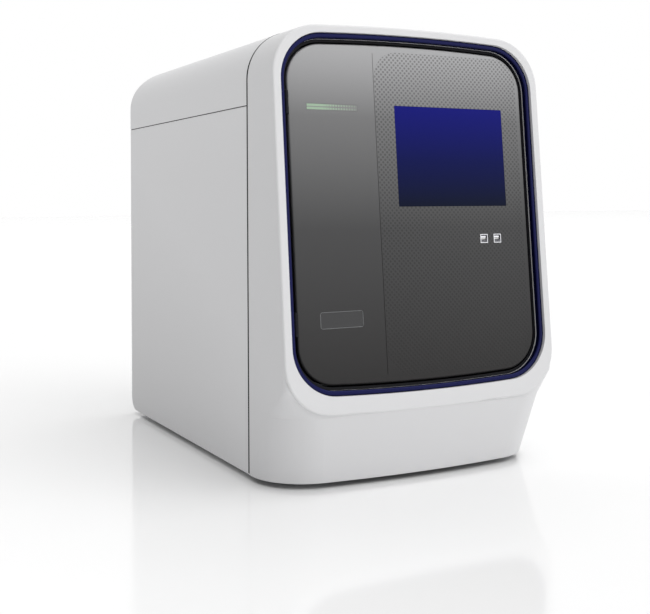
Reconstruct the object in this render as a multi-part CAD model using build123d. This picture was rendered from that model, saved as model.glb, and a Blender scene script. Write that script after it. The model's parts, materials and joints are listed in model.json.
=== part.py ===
from build123d import *
from math import cos, radians, sin, tan
import os

# Overall size in mm, the rest follows from it
body_width = 444.0
body_height = 640.0
body_depth = 682.0
foot_height = 8.0
cover_length = 551.0
rear_standoff = 4.0
side_seam_height = 529.0
corner_radius = 72.0
crown = 8.0
face_tilt = 5.04
half = 0.5

# Sheet and moulding thicknesses
hood_wall = 3.5
cover_wall = 3.0
cover_flange = 15.0
cover_radius = 25.0
rear_top_radius = 55.0
sheet = 2.0
rear_sheet = 2.5

# Clearances
seam_gap = 1.0
hair = 0.2
poke = 1.0
seat_gap = 0.3
running_gap = 0.05
slide_gap = 0.1

# Front hood: rim, lip and chin
rim_round = 3.0
lip_height = 25.4
lip_radius = 70.0
front_bow = 7.0
block_depth = 50.0
chin_reach = 100.0
chin_step = 1.5
chin_low_bow = 20.0
chin_low_radius = 80.0
chin_mid_bow = 6.0
chin_mid_radius = 60.0
chin_flat_bow = 1.0
chin_knee_height = 140.0
chin_knee_radius = 12.0
chin_top_height = 186.0
chin_top_radius = 5.0

# Trim ring, jamb liner and door outline, as seen from the front
ring_half_width = 209.6
ring_half_height = 251.8
ring_center_height = 378.5
ring_radius = 68.0
ring_width = 7.0
ring_recess = 4.0
ring_thick = 8.0
ring_edge = 2.0
door_margin = 13.5
door_gap = 2.5
liner_front = 14.0
door_front = 11.0
door_back = 45.0

# Door skin and what it carries
skin_thick = 2.5
skin_return = 14.0
skin_fold = 1.6
skin_round = 2.5
liner_wall = 3.0
screen_x = 66.0
screen_rise = 79.5
screen_width = 187.2
screen_height = 144.3
module_margin = 7.0
module_thick = 14.0
port_x = 128.0
port_pitch = 24.0
port_rise = -41.0
port_size = 13.4
port_depth = 12.0
port_rim = 1.0
port_tongue = 2.4
port_tongue_rise = 2.6
light_x = -128.0
light_rise = 146.0
light_width = 79.0
light_height = 9.0
light_thick = 4.0
badge_x = -127.5
badge_rise = -147.0
badge_width = 67.0
badge_height = 23.0
badge_round = 4.0
badge_thick = 2.0
groove_x = -60.0
groove_width = 1.2
groove_depth = 0.6
groove_half_height = 226.0

# Door hinge, in the dark channel between ring and door, and latch
hinge_rise = 150.0
hinge_depth = 8.0
knuckle_radius = 2.6
knuckle_half = 6.0
pin_radius = 1.2
leaf_length = 10.0
leaf_thick = 1.7
leaf_depth = 14.0
hinge_foot_half = 14.0
hinge_foot_thick = 2.0
latch_inset = 26.0
latch_rise = -90.0
latch_half = 9.0
latch_length = 24.0
plunger_radius = 5.0
plunger_travel = 4.0
striker_half = 12.0
striker_thick = 1.5

# Bulkhead behind the door
bulkhead_half_width = 210.0
bulkhead_low = -262.0
bulkhead_high = 250.0
bulkhead_radius = 60.0
mouth_half_width = 150.0
mouth_low = -214.0
mouth_high = -64.0
mouth_radius = 16.0
gasket_width = 9.0

# Chassis
frame_x = 205.0
frame_top = 598.0
frame_foot_y = -250.0
frame_step = 120.0
frame_chamfer = 40.0
pan_front = -290.0
pan_radius = 50.0
pan_flange = 20.0
deck_height = 130.0
deck_front = -280.0
shelf_height = 320.0
shelf_thick = 3.0
shelf_front = -258.0
shelf_back = 120.0
window_low = 170.0
window_high = 470.0
window_front = 20.0
window_back = 280.0
window_radius = 30.0

# Feet
foot_radius = 18.0
foot_x = 170.0
foot_front = -235.0
foot_back = 290.0
foot_edge = 2.0

# Thermal block, centred on x = 0
block_y = -150.0
rail_half = 5.0
rail_x = 70.0
rail_length = 190.0
sink_half_x = 75.0
sink_half_y = 85.0
sink_base = 10.0
fin_height = 50.0
fin_count = 11
fin_pitch = 10.0
fin_thick = 2.5
sink_foot = 8.0
duct_half_x = 32.0
cooler_size = 36.0
cooler_pitch = 38.0
cooler_thick = 4.0
plate_half_x = 58.0
plate_half_y = 39.0
plate_thick = 24.0
well_pitch = 9.0
well_columns = 12
well_rows = 8
well_radius = 2.9
well_depth = 13.0
well_sides = 6
well_taper = 9.0
shroud_margin = 14.0
shroud_height = 20.0
grip_width = 70.0
grip_depth = 16.0
grip_height = 8.0

# Plate tray
tray_height = 238.0
tray_bar = 8.0
tray_half_y = 60.0
tray_left = -195.0
tray_travel = 285.0
holder_half_x = 72.0
pocket_half_x = 64.3
pocket_half_y = 43.2
pocket_depth = 3.0
ledge_half_x = 58.0
ledge_half_y = 38.0
slot_half_y = 66.0
slot_half_height = 10.0
slot_center = 242.0
hatch_margin = 1.0
hatch_thick = 6.0
guide_wall = 10.0
guide_ledge = 6.0
guide_height = 18.0
frame_slot_half_y = 62.0
frame_slot_low = 235.0
frame_slot_high = 249.0

# Heated cover
lid_bottom = 272.0
lid_thick = 22.0
lid_half_x = 62.0
lid_half_y = 44.0
lid_travel = 22.0
lid_ear_x = 84.0
lid_ear_half = 10.0
lid_ear_thick = 12.0
lid_window_x = 54.0
lid_window_y = 36.0
post_radius = 5.0
post_bottom = 249.0
post_flange = 9.0
post_flange_thick = 3.0

# Optics above the shelf
light_path_x = 50.0
light_path_y = 36.0
housing_half_x = 100.0
housing_front = -240.0
housing_back = -64.0
housing_height = 190.0
housing_slope = 90.0
housing_wall = 4.0
lens_radius = 46.0
lens_thick = 8.0
mirror_length = 150.0
mirror_thick = 4.0
mirror_y = -160.0
mirror_rise = 100.0
wheel_x = 75.0
wheel_rise = 95.0
wheel_radius = 58.0
wheel_thick = 5.0
wheel_y = -50.0
filter_count = 6
filter_radius = 12.0
filter_orbit = 38.0
shaft_radius = 3.0
motor_half = 20.0
motor_length = 36.0
motor_gap = 6.0
bracket_thick = 4.0
port_window_radius = 14.0
unit_half = 24.0
unit_length = 110.0
unit_gap = 8.0
unit_rise = 16.0
unit_leg = 40.0

# Rear panel and fans
fan_x = 90.0
fan_height = 430.0
fan_half = 60.0
fan_bore = 56.0
fan_length = 25.0
fan_floor = 3.0
rotor_gap = 0.5
hub_radius = 20.0
hub_pocket = 21.0
blade_count = 7
blade_reach = 54.0
blade_thick = 2.0
blade_pitch = 35.0
spoke_width = 6.0
guard_rings = 3
guard_bar = 2.2
guard_thick = 1.6
inlet_x = 150.0
inlet_height = 60.0
inlet_half_x = 14.0
inlet_half_z = 11.0
inlet_depth = 24.0
inlet_lip = 2.0
inlet_pin = 1.6
inlet_pin_pitch = 7.0
rocker_x = 112.0
rocker_half_x = 7.0
rocker_half_z = 11.0
rocker_depth = 12.0
rocker_rise = 2.0
rocker_frame = 2.0
rocker_end_gap = 1.6
rocker_side_gap = 0.6
trunnion_radius = 1.5
trunnion_reach = 1.2
data_x = 40.0
data_pitch = 26.0
data_half = 8.0
data_depth = 16.0
data_rim = 1.5
bay_left = 12.0
bay_right = 172.0
bay_half_z = 18.0
bay_lap = 5.0
vent_x = -60.0
vent_height = 180.0
vent_count = 8
vent_pitch = 12.0
vent_length = 140.0
vent_width = 5.0
screw_radius = 3.5
screw_head = 2.0
screw_inset = 8.0
screw_rows = 4

# Electronics
supply_x = -130.0
supply_half_x = 60.0
supply_front = 80.0
supply_length = 200.0
supply_height = 70.0
supply_slots = 6
supply_slot_pitch = 24.0
supply_slot_width = 4.0
board_standoff = 8.0
board_thick = 1.6
board_front = 40.0
board_length = 220.0
board_bottom = 150.0
board_height = 150.0
chip_size = 28.0
chip_thick = 3.0
chip_pitch = 60.0
chip_count = 3
standoff_radius = 3.0
standoff_inset = 12.0

# Derived positions
half_width = body_width * half
front_limit = -body_depth * half
rear_limit = body_depth * half
rear_face = rear_limit - rear_standoff
seam_y = rear_face - cover_length
shoulder = body_height - crown
lean = radians(face_tilt)
lip_low = -ring_half_height - lip_height
rim_low = lip_low + rim_round
face_y = front_limit + rim_round * (1 - cos(lean)) - rim_low * sin(lean)
face_plane = Plane(
    origin=(0, face_y, ring_center_height),
    x_dir=(1, 0, 0),
    z_dir=(0, -cos(lean), sin(lean)),
)
door_half_width = ring_half_width - door_margin
door_half_height = ring_half_height - door_margin
door_radius = ring_radius - door_margin
ring_inner_x = ring_half_width - ring_width
axis_x = -(ring_inner_x + door_half_width) * half
back_plane = -block_depth - sheet
frame_out = frame_x + sheet
tray_right = half_width - hatch_thick
deck_top = deck_height + sheet
shelf_top = shelf_height + shelf_thick
panel_front = rear_face - cover_wall
panel_back = panel_front + rear_sheet
sink_low = deck_top + 2 * rail_half
sink_top = sink_low + fin_height + sink_base
cooler_top = sink_top + cooler_thick
wheel_height = shelf_top + wheel_rise


def span(x0, x1, y0, y1, z0, z1):
    center = ((x0 + x1) * half, (y0 + y1) * half, (z0 + z1) * half)
    return Pos(*center) * Box(x1 - x0, y1 - y0, z1 - z0)


def rod_z(radius, x, y, z0, z1):
    return Pos(x, y, (z0 + z1) * half) * Cylinder(radius, z1 - z0)


def rod_y(radius, x, z, y0, y1):
    return Pos(x, (y0 + y1) * half, z) * Rot(90, 0, 0) * Cylinder(radius, y1 - y0)


def on_face(shape):
    return face_plane.location * shape


def along_y(sketch, y0, y1):
    return Pos(0, y1, 0) * (Plane.XZ.location * extrude(sketch, y1 - y0))


def along_x(sketch, x0, x1):
    return Pos(x0, 0, 0) * (Plane.YZ.location * extrude(sketch, x1 - x0))


def slab(sketch, low, high):
    return Pos(0, 0, low) * extrude(sketch, high - low)


def bowed(half_x, low, high, radius, bow):
    # rounded rectangle whose top and bottom edges arch outwards
    shoulder_low = low + bow
    shoulder_high = high - bow
    left = Line((-half_x, shoulder_low), (-half_x, shoulder_high))
    top = ThreePointArc((-half_x, shoulder_high), (0, high), (half_x, shoulder_high))
    right = Line((half_x, shoulder_high), (half_x, shoulder_low))
    bottom = ThreePointArc((half_x, shoulder_low), (0, low), (-half_x, shoulder_low))
    outline = make_face([left, top, right, bottom])
    return fillet(outline.vertices(), radius)


def body_section(inset):
    # cross-section of the cabinet: flat foot, round shoulders, crowned top
    half_x = half_width - inset
    top_z = body_height - inset
    side_z = shoulder - inset
    left = Line((-half_x, foot_height), (-half_x, side_z))
    top = ThreePointArc((-half_x, side_z), (0, top_z), (half_x, side_z))
    right = Line((half_x, side_z), (half_x, foot_height))
    bottom = Line((half_x, foot_height), (-half_x, foot_height))
    outline = make_face([left, top, right, bottom])
    shoulders = outline.vertices().sort_by(Axis.Y)[-2:]
    return fillet(shoulders, corner_radius - inset)


def chin_plan(inset, reach, bow, radius):
    # plan outline of the hood at one height
    half_x = half_width - inset
    apex = seam_y - reach + inset
    side_y = apex + bow
    left = Line((-half_x, seam_y), (-half_x, side_y))
    front = ThreePointArc((-half_x, side_y), (0, apex), (half_x, side_y))
    right = Line((half_x, side_y), (half_x, seam_y))
    back = Line((half_x, seam_y), (-half_x, seam_y))
    outline = make_face([left, front, right, back])
    fronts = outline.vertices().sort_by(Axis.Y)[:2]
    return fillet(fronts, radius - inset)


def chin_levels():
    # height, reach, bow and corner radius of each plan outline, from the foot up
    lip_height_z = ring_center_height + lip_low * cos(lean)
    levels = [(foot_height, chin_reach, chin_low_bow, chin_low_radius)]
    for z, bow, radius in (
        (lip_height_z, chin_mid_bow, chin_mid_radius),
        (chin_knee_height, chin_flat_bow, chin_knee_radius),
        (chin_top_height, chin_flat_bow, chin_top_radius),
    ):
        levels.append((z, seam_y - face_line(chin_step, z), bow, radius))
    return levels


def chin_body(inset):
    plans = [Pos(0, 0, z) * chin_plan(inset, reach, bow, radius) for z, reach, bow, radius in chin_levels()]
    body = loft(plans[:2])
    for lower, upper in zip(plans[1:], plans[2:]):
        body += loft([lower, upper])
    return body


def face_line(depth, z):
    # y of the plane lying this deep behind the rim, at height z
    rise = (z - ring_center_height) * tan(lean)
    return face_y + depth / cos(lean) + rise


def upper_body(inset, depth):
    low_z = chin_top_height
    points = [
        (seam_y, low_z),
        (face_line(depth, low_z), low_z),
        (face_line(depth, body_height), body_height),
        (seam_y, body_height),
    ]
    profile = make_face(Polyline(*points, close=True))
    prism = along_x(profile, -half_width, half_width)
    return prism & along_y(body_section(inset), front_limit, seam_y)


def rim_block():
    high = body_height - ring_center_height + corner_radius
    outline = bowed(half_width, lip_low, high, lip_radius, front_bow)
    block = on_face(slab(outline, -block_depth, 0))
    trimmed = block & along_y(body_section(0), front_limit - rim_round, seam_y)
    front = trimmed.faces().sort_by(Axis(face_plane.origin, face_plane.z_dir))[-1]
    return fillet(front.edges(), rim_round)


def ring_outline(inset):
    half_x = ring_half_width - inset
    half_z = ring_half_height - inset
    return bowed(half_x, -half_z, half_z, ring_radius - inset, front_bow)


def front_hood():
    shell = chin_body(0) + upper_body(0, block_depth * half)
    shell -= chin_body(hood_wall)
    shell -= upper_body(hood_wall, block_depth)
    shell += rim_block()
    seat = slab(ring_outline(-hair), -ring_recess - ring_thick, rim_round)
    jamb = slab(ring_outline(ring_width), -block_depth - rim_round, 0)
    shell -= on_face(seat)
    shell -= on_face(jamb)
    back = seam_y - seam_gap
    return shell - span(-half_width, half_width, back, seam_y + hood_wall, 0, body_height)


def trim_ring():
    outer = slab(ring_outline(0), -ring_recess - ring_thick, -ring_recess)
    inner = slab(ring_outline(ring_width), -ring_recess - ring_thick, 0)
    band = outer - inner
    front = band.faces().sort_by(Axis.Z)[-1]
    return on_face(fillet(front.edges(), ring_edge))


def jamb_liner():
    outer = slab(ring_outline(ring_width + hair), -block_depth + seat_gap, -liner_front)
    inner_inset = door_margin - door_gap
    inner = slab(ring_outline(inner_inset), -block_depth, 0)
    return on_face(outer - inner)


def door_outline(inset):
    half_x = door_half_width - inset
    half_z = door_half_height - inset
    return bowed(half_x, -half_z, half_z, door_radius - inset, front_bow)


def panel_window(x, rise, width, height, radius):
    sketch = Pos(x, rise) * RectangleRounded(width, height, radius)
    return slab(sketch, -door_back, 0)


def port_places():
    return [port_x + side * port_pitch * half for side in (-1, 1)]


def door_panel():
    low = -door_front - skin_return
    outer = slab(door_outline(0), low, -door_front)
    front = outer.faces().sort_by(Axis.Z)[-1]
    outer = fillet(front.edges(), skin_round)
    skin = outer - slab(door_outline(skin_fold), low, -door_front - skin_thick)
    wide = screen_width + 2 * hair
    tall = screen_height + 2 * hair
    skin -= panel_window(screen_x, screen_rise, wide, tall, hair)
    skin -= panel_window(light_x, light_rise, light_width, light_height, hair)
    skin -= panel_window(badge_x, badge_rise, badge_width, badge_height, badge_round)
    for x in port_places():
        skin -= panel_window(x, port_rise, port_size, port_size, hair)
    groove_low = -door_front - groove_depth
    left = groove_x - groove_width * half
    right = groove_x + groove_width * half
    skin -= span(left, right, -groove_half_height, groove_half_height, groove_low, 0)
    return on_face(skin)


def door_liner():
    inset = skin_fold + hair
    front = -door_front - skin_thick
    shell = slab(door_outline(inset), -door_back, front)
    return on_face(shell - slab(door_outline(inset + liner_wall), -door_back + liner_wall, front))


def touchscreen_glass():
    pane = Box(screen_width, screen_height, skin_thick)
    place = Pos(screen_x, screen_rise, -door_front - skin_thick * half)
    return on_face(place * chamfer(pane.edges().group_by(Axis.Z)[-1], hair))


def display_module():
    half_x = screen_width * half + module_margin
    half_z = screen_height * half + module_margin
    high = -door_front - skin_thick
    low = high - module_thick
    left = screen_x - half_x
    right = screen_x + half_x
    body = span(left, right, screen_rise - half_z, screen_rise + half_z, low, high)
    return on_face(chamfer(body.edges().group_by(Axis.Z)[0], module_margin * half))


def usb_ports():
    group = []
    for x in port_places():
        size = port_size - 2 * hair
        shell = Box(size, size, port_depth)
        mouth = Box(size - 2 * port_rim, size - 2 * port_rim, port_depth - port_rim)
        tongue = Box(size - 4 * port_rim, port_tongue, port_depth - 3 * port_rim)
        port = shell - Pos(0, 0, port_rim) * mouth
        port += Pos(0, port_tongue_rise, -port_rim * half) * tongue
        group.append(Pos(x, port_rise, -door_front - port_depth * half) * port)
    return on_face(Compound(children=group))


def status_light():
    size_x = light_width - 2 * hair
    size_z = light_height - 2 * hair
    place = Pos(light_x, light_rise, -door_front - light_thick * half)
    return on_face(place * Box(size_x, size_z, light_thick))


def badge_plate():
    sketch = RectangleRounded(badge_width - 2 * hair, badge_height - 2 * hair, badge_round - hair)
    top = -door_front - groove_depth
    return on_face(Pos(badge_x, badge_rise, 0) * slab(sketch, top - badge_thick, top))


def knuckle(radius, low, high):
    # round bar along the hinge axis, between two heights on the face
    place = Pos(axis_x, (low + high) * half, -hinge_depth)
    return place * Rot(90, 0, 0) * Cylinder(radius, high - low)


def hinge_brackets():
    # middle knuckles, each on a foot that stands on the jamb's front edge
    group = []
    right = -door_half_width - door_gap - hair
    left = -ring_inner_x + seat_gap
    back = -liner_front
    for side in (-1, 1):
        mid = side * hinge_rise
        low = mid - knuckle_half
        high = mid + knuckle_half
        bracket = knuckle(knuckle_radius, low, high)
        bracket += span(axis_x - knuckle_radius * half, right, low, high, back, -hinge_depth)
        foot_low = mid - hinge_foot_half
        foot_high = mid + hinge_foot_half
        bracket += span(left, right, foot_low, foot_high, back, back + hinge_foot_thick)
        group.append(bracket - knuckle(pin_radius, low - poke, high + poke))
    return on_face(Compound(children=group))


def hinge_leaves():
    # outer knuckles, each on a leaf that lies along the door's side
    group = []
    left = -door_half_width - leaf_thick
    back = -door_front - leaf_depth
    for side in (-1, 1):
        for end in (-1, 1):
            near = side * hinge_rise + end * (knuckle_half + slide_gap)
            far = near + end * leaf_length
            low = min(near, far)
            high = max(near, far)
            leaf = knuckle(knuckle_radius, low, high)
            leaf += span(left, -door_half_width, low, high, back, -hinge_depth)
            group.append(leaf - knuckle(pin_radius + running_gap, low - poke, high + poke))
    return on_face(Compound(children=group))


def hinge_pins():
    reach = knuckle_half + slide_gap + leaf_length
    middles = [side * hinge_rise for side in (-1, 1)]
    pins = [knuckle(pin_radius, mid - reach, mid + reach) for mid in middles]
    return on_face(Compound(children=pins))


def latch_x():
    return door_half_width - latch_inset


def door_striker():
    plate = Box(2 * striker_half, 2 * striker_half, striker_thick)
    place = Pos(latch_x(), latch_rise, -door_back + liner_wall + striker_thick * half)
    return on_face(place * plate)


def door_latch():
    back = -block_depth - sheet
    body = Box(2 * latch_half, 2 * latch_half, latch_length)
    body = Pos(latch_x(), latch_rise, back - latch_length * half) * body
    bore_low = back - latch_length + liner_wall
    bore = Pos(latch_x(), latch_rise, (bore_low + back) * half)
    return on_face(body - bore * Cylinder(plunger_radius + slide_gap, back - bore_low))


def latch_plunger():
    tip = -door_back - seat_gap
    tail = -block_depth - sheet - latch_length + liner_wall + plunger_travel + seat_gap
    pin = Pos(latch_x(), latch_rise, (tip + tail) * half) * Cylinder(plunger_radius, tip - tail)
    crown_edge = pin.edges().filter_by(GeomType.CIRCLE).sort_by(Axis.Z)[-1]
    return on_face(fillet(crown_edge, plunger_radius * half))


def mouth_sketch(grow):
    wide = 2 * (mouth_half_width + grow)
    tall = mouth_high - mouth_low + 2 * grow
    mid = (mouth_high + mouth_low) * half
    return Pos(0, mid) * RectangleRounded(wide, tall, mouth_radius + grow)


def front_bulkhead():
    outline = bowed(bulkhead_half_width, bulkhead_low, bulkhead_high, bulkhead_radius, front_bow)
    plate = slab(outline, back_plane, -block_depth)
    plate -= slab(mouth_sketch(0), back_plane, -block_depth)
    hole = Pos(latch_x(), latch_rise, back_plane + sheet * half)
    plate -= hole * Cylinder(plunger_radius + slide_gap, sheet)
    return on_face(plate)


def door_gasket():
    ring = mouth_sketch(gasket_width) - mouth_sketch(seat_gap)
    return on_face(slab(ring, -block_depth, -door_back - seat_gap))


def side_cover():
    # tray with its flanges turned in towards the frame
    low = foot_height
    high = side_seam_height - seam_gap
    outline = Polyline((seam_y, low), (rear_face, low), (rear_face, high), (seam_y, high), close=True)
    profile = make_face(outline)
    corner = profile.vertices().group_by(Axis.X)[-1].sort_by(Axis.Y)[0]
    profile = fillet(corner, cover_radius)
    outer = along_x(profile, half_width - cover_flange, half_width)
    edge = outer.faces().sort_by(Axis.X)[-1].edges()
    outer = chamfer(edge, cover_wall * half * half)
    inner_y0 = seam_y + cover_wall
    inner_y1 = rear_face - cover_wall
    inner = make_face(
        Polyline(
            (inner_y0, low + cover_wall),
            (inner_y1, low + cover_wall),
            (inner_y1, high - cover_wall),
            (inner_y0, high - cover_wall),
            close=True,
        )
    )
    corner = inner.vertices().group_by(Axis.X)[-1].sort_by(Axis.Y)[0]
    inner = fillet(corner, cover_radius - cover_wall)
    return outer - along_x(inner, half_width - cover_flange, half_width - cover_wall)


def left_side_cover():
    return mirror(side_cover(), about=Plane.YZ)


def right_side_cover():
    y0 = block_y - slot_half_y
    y1 = block_y + slot_half_y
    z0 = slot_center - slot_half_height
    z1 = slot_center + slot_half_height
    return side_cover() - span(frame_x, half_width + poke, y0, y1, z0, z1)


def rear_round(inset):
    # cylinder-fronted wedge that rounds the rear top edge in profile
    radius = rear_top_radius - inset
    back = rear_face - inset
    top = body_height - inset
    block = span(-half_width, half_width, back - radius, back + poke, top - radius, top + crown)
    core = Pos(0, back - radius, top - radius) * Rot(0, 90, 0) * Cylinder(radius, body_width)
    return block - core


def top_cover():
    outer = along_y(body_section(0), seam_y, rear_face) - rear_round(0)
    inner = along_y(body_section(cover_wall), seam_y, rear_face - cover_wall) - rear_round(cover_wall)
    shell = outer - inner
    shell -= span(-half_width, half_width, seam_y, rear_face, 0, side_seam_height)
    low = side_seam_height
    high = low + cover_wall
    for side in (-1, 1):
        x0 = side * (frame_out + hair)
        x1 = side * (half_width - cover_wall * half)
        shell += span(min(x0, x1), max(x0, x1), seam_y, rear_face - cover_wall, low, high)
    return shell


def frame_plate():
    front_high = face_line(-back_plane, frame_top)
    front_low = face_line(-back_plane, frame_step)
    back = panel_front
    points = [
        (frame_foot_y, foot_height + sheet),
        (frame_foot_y, frame_step),
        (front_low, frame_step),
        (front_high, frame_top),
        (back - frame_chamfer, frame_top),
        (back, frame_top - frame_chamfer),
        (back, foot_height + sheet),
    ]
    plate = make_face(Polyline(*points, close=True))
    wide = window_back - window_front
    tall = window_high - window_low
    window = RectangleRounded(wide, tall, window_radius)
    mid_y = (window_back + window_front) * half
    mid_z = (window_high + window_low) * half
    return along_x(plate - Pos(mid_y, mid_z) * window, frame_x, frame_out)


def left_frame():
    return mirror(frame_plate(), about=Plane.YZ)


def right_frame():
    y0 = block_y - frame_slot_half_y
    y1 = block_y + frame_slot_half_y
    slot = span(frame_x - poke, frame_out + poke, y0, y1, frame_slot_low, frame_slot_high)
    return frame_plate() - slot


def base_pan():
    mid_y = (pan_front + panel_front) * half
    long_y = panel_front - pan_front
    floor = Pos(0, mid_y, foot_height + sheet * half) * Box(2 * frame_out, long_y, sheet)
    corners = floor.edges().filter_by(Axis.Z).group_by(Axis.Y)[0]
    floor = fillet(corners, pan_radius)
    z0 = foot_height + sheet
    z1 = z0 + pan_flange
    for side in (-1, 1):
        x0 = min(side * frame_x, side * (frame_x - sheet))
        floor += span(x0, x0 + sheet, frame_foot_y, panel_front, z0, z1)
    return floor


def rubber_feet():
    group = []
    for x in (-foot_x, foot_x):
        for y in (foot_front, foot_back):
            foot = rod_z(foot_radius, x, y, 0, foot_height)
            low_edge = foot.edges().filter_by(GeomType.CIRCLE).sort_by(Axis.Z)[0]
            group.append(chamfer(low_edge, foot_edge))
    return Compound(children=group)


def deck_plate():
    plate = span(-frame_x, frame_x, deck_front, panel_front - fan_length, deck_height, deck_top)
    y0 = block_y - sink_half_y * half
    y1 = block_y + sink_half_y * half
    return plate - span(-duct_half_x, duct_half_x, y0, y1, deck_height - poke, deck_top + poke)


def optics_shelf():
    plate = span(-frame_x, frame_x, shelf_front, shelf_back, shelf_height, shelf_top)
    y0 = block_y - light_path_y
    y1 = block_y + light_path_y
    return plate - span(-light_path_x, light_path_x, y0, y1, shelf_height, shelf_top)


def block_rails():
    group = []
    for side in (-1, 1):
        x0 = side * rail_x - rail_half
        y0 = block_y - rail_length * half
        group.append(span(x0, x0 + 2 * rail_half, y0, y0 + rail_length, deck_top, sink_low))
    return Compound(children=group)


def heat_sink():
    y0 = block_y - sink_half_y
    y1 = block_y + sink_half_y
    base_low = sink_low + fin_height
    sink = span(-sink_half_x, sink_half_x, y0, y1, base_low, sink_top)
    for side in (-1, 1):
        x0 = min(side * sink_half_x, side * (sink_half_x - sink_foot))
        sink += span(x0, x0 + sink_foot, y0, y1, sink_low, base_low)
    first = -fin_pitch * (fin_count - 1) * half
    for index in range(fin_count):
        x = first + index * fin_pitch
        fin_low = sink_low + rail_half
        sink += span(x - fin_thick * half, x + fin_thick * half, y0, y1, fin_low, base_low)
    return sink


def thermoelectric_modules():
    group = []
    for column in (-1, 0, 1):
        for row in (-1, 1):
            x = column * cooler_pitch
            y = block_y + row * cooler_pitch * half
            tile = Box(cooler_size, cooler_size, cooler_thick)
            group.append(Pos(x, y, sink_top + cooler_thick * half) * tile)
    return Compound(children=group)


def sample_block():
    low = cooler_top
    high = low + plate_thick
    y0 = block_y - plate_half_y
    y1 = block_y + plate_half_y
    block = span(-plate_half_x, plate_half_x, y0, y1, low, high)
    upright = block.edges().filter_by(Axis.Z)
    block = fillet(upright, well_radius)
    wells = []
    well = extrude(RegularPolygon(well_radius, well_sides), well_depth, taper=well_taper)
    for column in range(well_columns):
        for row in range(well_rows):
            x = (column - (well_columns - 1) * half) * well_pitch
            y = block_y + (row - (well_rows - 1) * half) * well_pitch
            wells.append(Pos(x, y, high) * Rot(180, 0, 0) * well)
    return block - wells


def block_shroud():
    grow = shroud_margin
    half_x = plate_half_x + grow
    half_y = plate_half_y + grow
    low = sink_top
    high = low + shroud_height
    ring = span(-half_x, half_x, block_y - half_y, block_y + half_y, low, high)
    ring -= span(
        -plate_half_x - seat_gap,
        plate_half_x + seat_gap,
        block_y - plate_half_y - seat_gap,
        block_y + plate_half_y + seat_gap,
        low,
        high,
    )
    front = block_y - half_y
    grip = span(-grip_width * half, grip_width * half, front - grip_depth, front, high - grip_height, high)
    grip = fillet(grip.edges().filter_by(Axis.Z).group_by(Axis.Y)[0], grip_height * half)
    return ring + grip


def tray_frame():
    low = tray_height
    high = low + tray_bar
    inner = tray_half_y - tray_bar
    bars = []
    for side in (-1, 1):
        y0 = min(side * inner, side * tray_half_y) + block_y
        bars.append(span(tray_left, tray_right, y0, y0 + tray_bar, low, high))
    tray = bars[0] + bars[1]
    tray += span(tray_left, tray_left + tray_bar, block_y - inner, block_y + inner, low, high)
    tray += span(tray_right - tray_bar, tray_right, block_y - inner, block_y + inner, low, high)
    return tray


def plate_holder():
    low = tray_height
    high = low + tray_bar
    half_y = tray_half_y - tray_bar
    plate = span(-holder_half_x, holder_half_x, block_y - half_y, block_y + half_y, low, high)
    pocket_low = high - pocket_depth
    plate -= span(
        -pocket_half_x, pocket_half_x, block_y - pocket_half_y, block_y + pocket_half_y, pocket_low, high
    )
    return plate - span(
        -ledge_half_x, ledge_half_x, block_y - ledge_half_y, block_y + ledge_half_y, low, high
    )


def tray_hatch():
    half_y = slot_half_y - hatch_margin
    half_z = slot_half_height - hatch_margin
    y0 = block_y - half_y
    y1 = block_y + half_y
    hatch = span(tray_right, half_width, y0, y1, slot_center - half_z, slot_center + half_z)
    return chamfer(hatch.faces().sort_by(Axis.X)[-1].edges(), hatch_margin)


def tray_guides():
    group = []
    low = tray_height - guide_ledge
    inner = tray_half_y + slide_gap
    for side in (-1, 1):
        near = side * inner
        far = side * (inner + guide_wall)
        wall_y0 = min(near, far) + block_y
        wall = span(-frame_x, frame_x, wall_y0, wall_y0 + guide_wall, low, low + guide_height)
        lip = side * (inner - tray_bar * half)
        lip_y0 = min(near, lip) + block_y
        ledge = span(-frame_x, frame_x, lip_y0, lip_y0 + tray_bar * half, low, tray_height - slide_gap)
        group.append(wall + ledge)
    return Compound(children=group)


def heated_cover():
    y0 = block_y - lid_half_y
    y1 = block_y + lid_half_y
    top = lid_bottom + lid_thick
    lid = span(-lid_half_x, lid_half_x, y0, y1, lid_bottom, top)
    ear_low = top - lid_ear_thick
    reach = lid_ear_x + lid_ear_half
    lid += span(-reach, reach, block_y - lid_ear_half, block_y + lid_ear_half, ear_low, top)
    wy0 = block_y - lid_window_y
    wy1 = block_y + lid_window_y
    lid -= span(-lid_window_x, lid_window_x, wy0, wy1, lid_bottom + lid_ear_thick * half, top)
    for side in (-1, 1):
        lid -= rod_z(post_radius + slide_gap, side * lid_ear_x, block_y, lid_bottom, top)
    return lid


def cover_posts():
    group = []
    for side in (-1, 1):
        x = side * lid_ear_x
        post = rod_z(post_radius, x, block_y, post_bottom, shelf_height)
        flange_low = shelf_height - post_flange_thick
        group.append(post + rod_z(post_flange, x, block_y, flange_low, shelf_height))
    return Compound(children=group)


def optics_housing():
    low = shelf_top
    high = low + housing_height

    def outline(inset):
        front = housing_front + inset
        back = housing_back - inset
        knee = high - housing_slope
        top_front = front + housing_slope - inset * half
        points = [
            (front, low),
            (back, low),
            (back, high - inset),
            (top_front, high - inset),
            (front, knee - inset * half),
        ]
        return make_face(Polyline(*points, close=True))

    body = along_x(outline(0), -housing_half_x, housing_half_x)
    inner_x = housing_half_x - housing_wall
    body -= along_x(outline(housing_wall), -inner_x, inner_x)
    for side in (-1, 1):
        z = wheel_height + filter_orbit
        y0 = housing_back - housing_wall - poke
        body -= rod_y(port_window_radius, side * wheel_x, z, y0, housing_back + poke)
    return body


def field_lens():
    lens = rod_z(lens_radius, 0, block_y, shelf_top, shelf_top + lens_thick)
    upper = lens.edges().filter_by(GeomType.CIRCLE).sort_by(Axis.Z)[-1]
    return fillet(upper, lens_thick * half)


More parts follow.
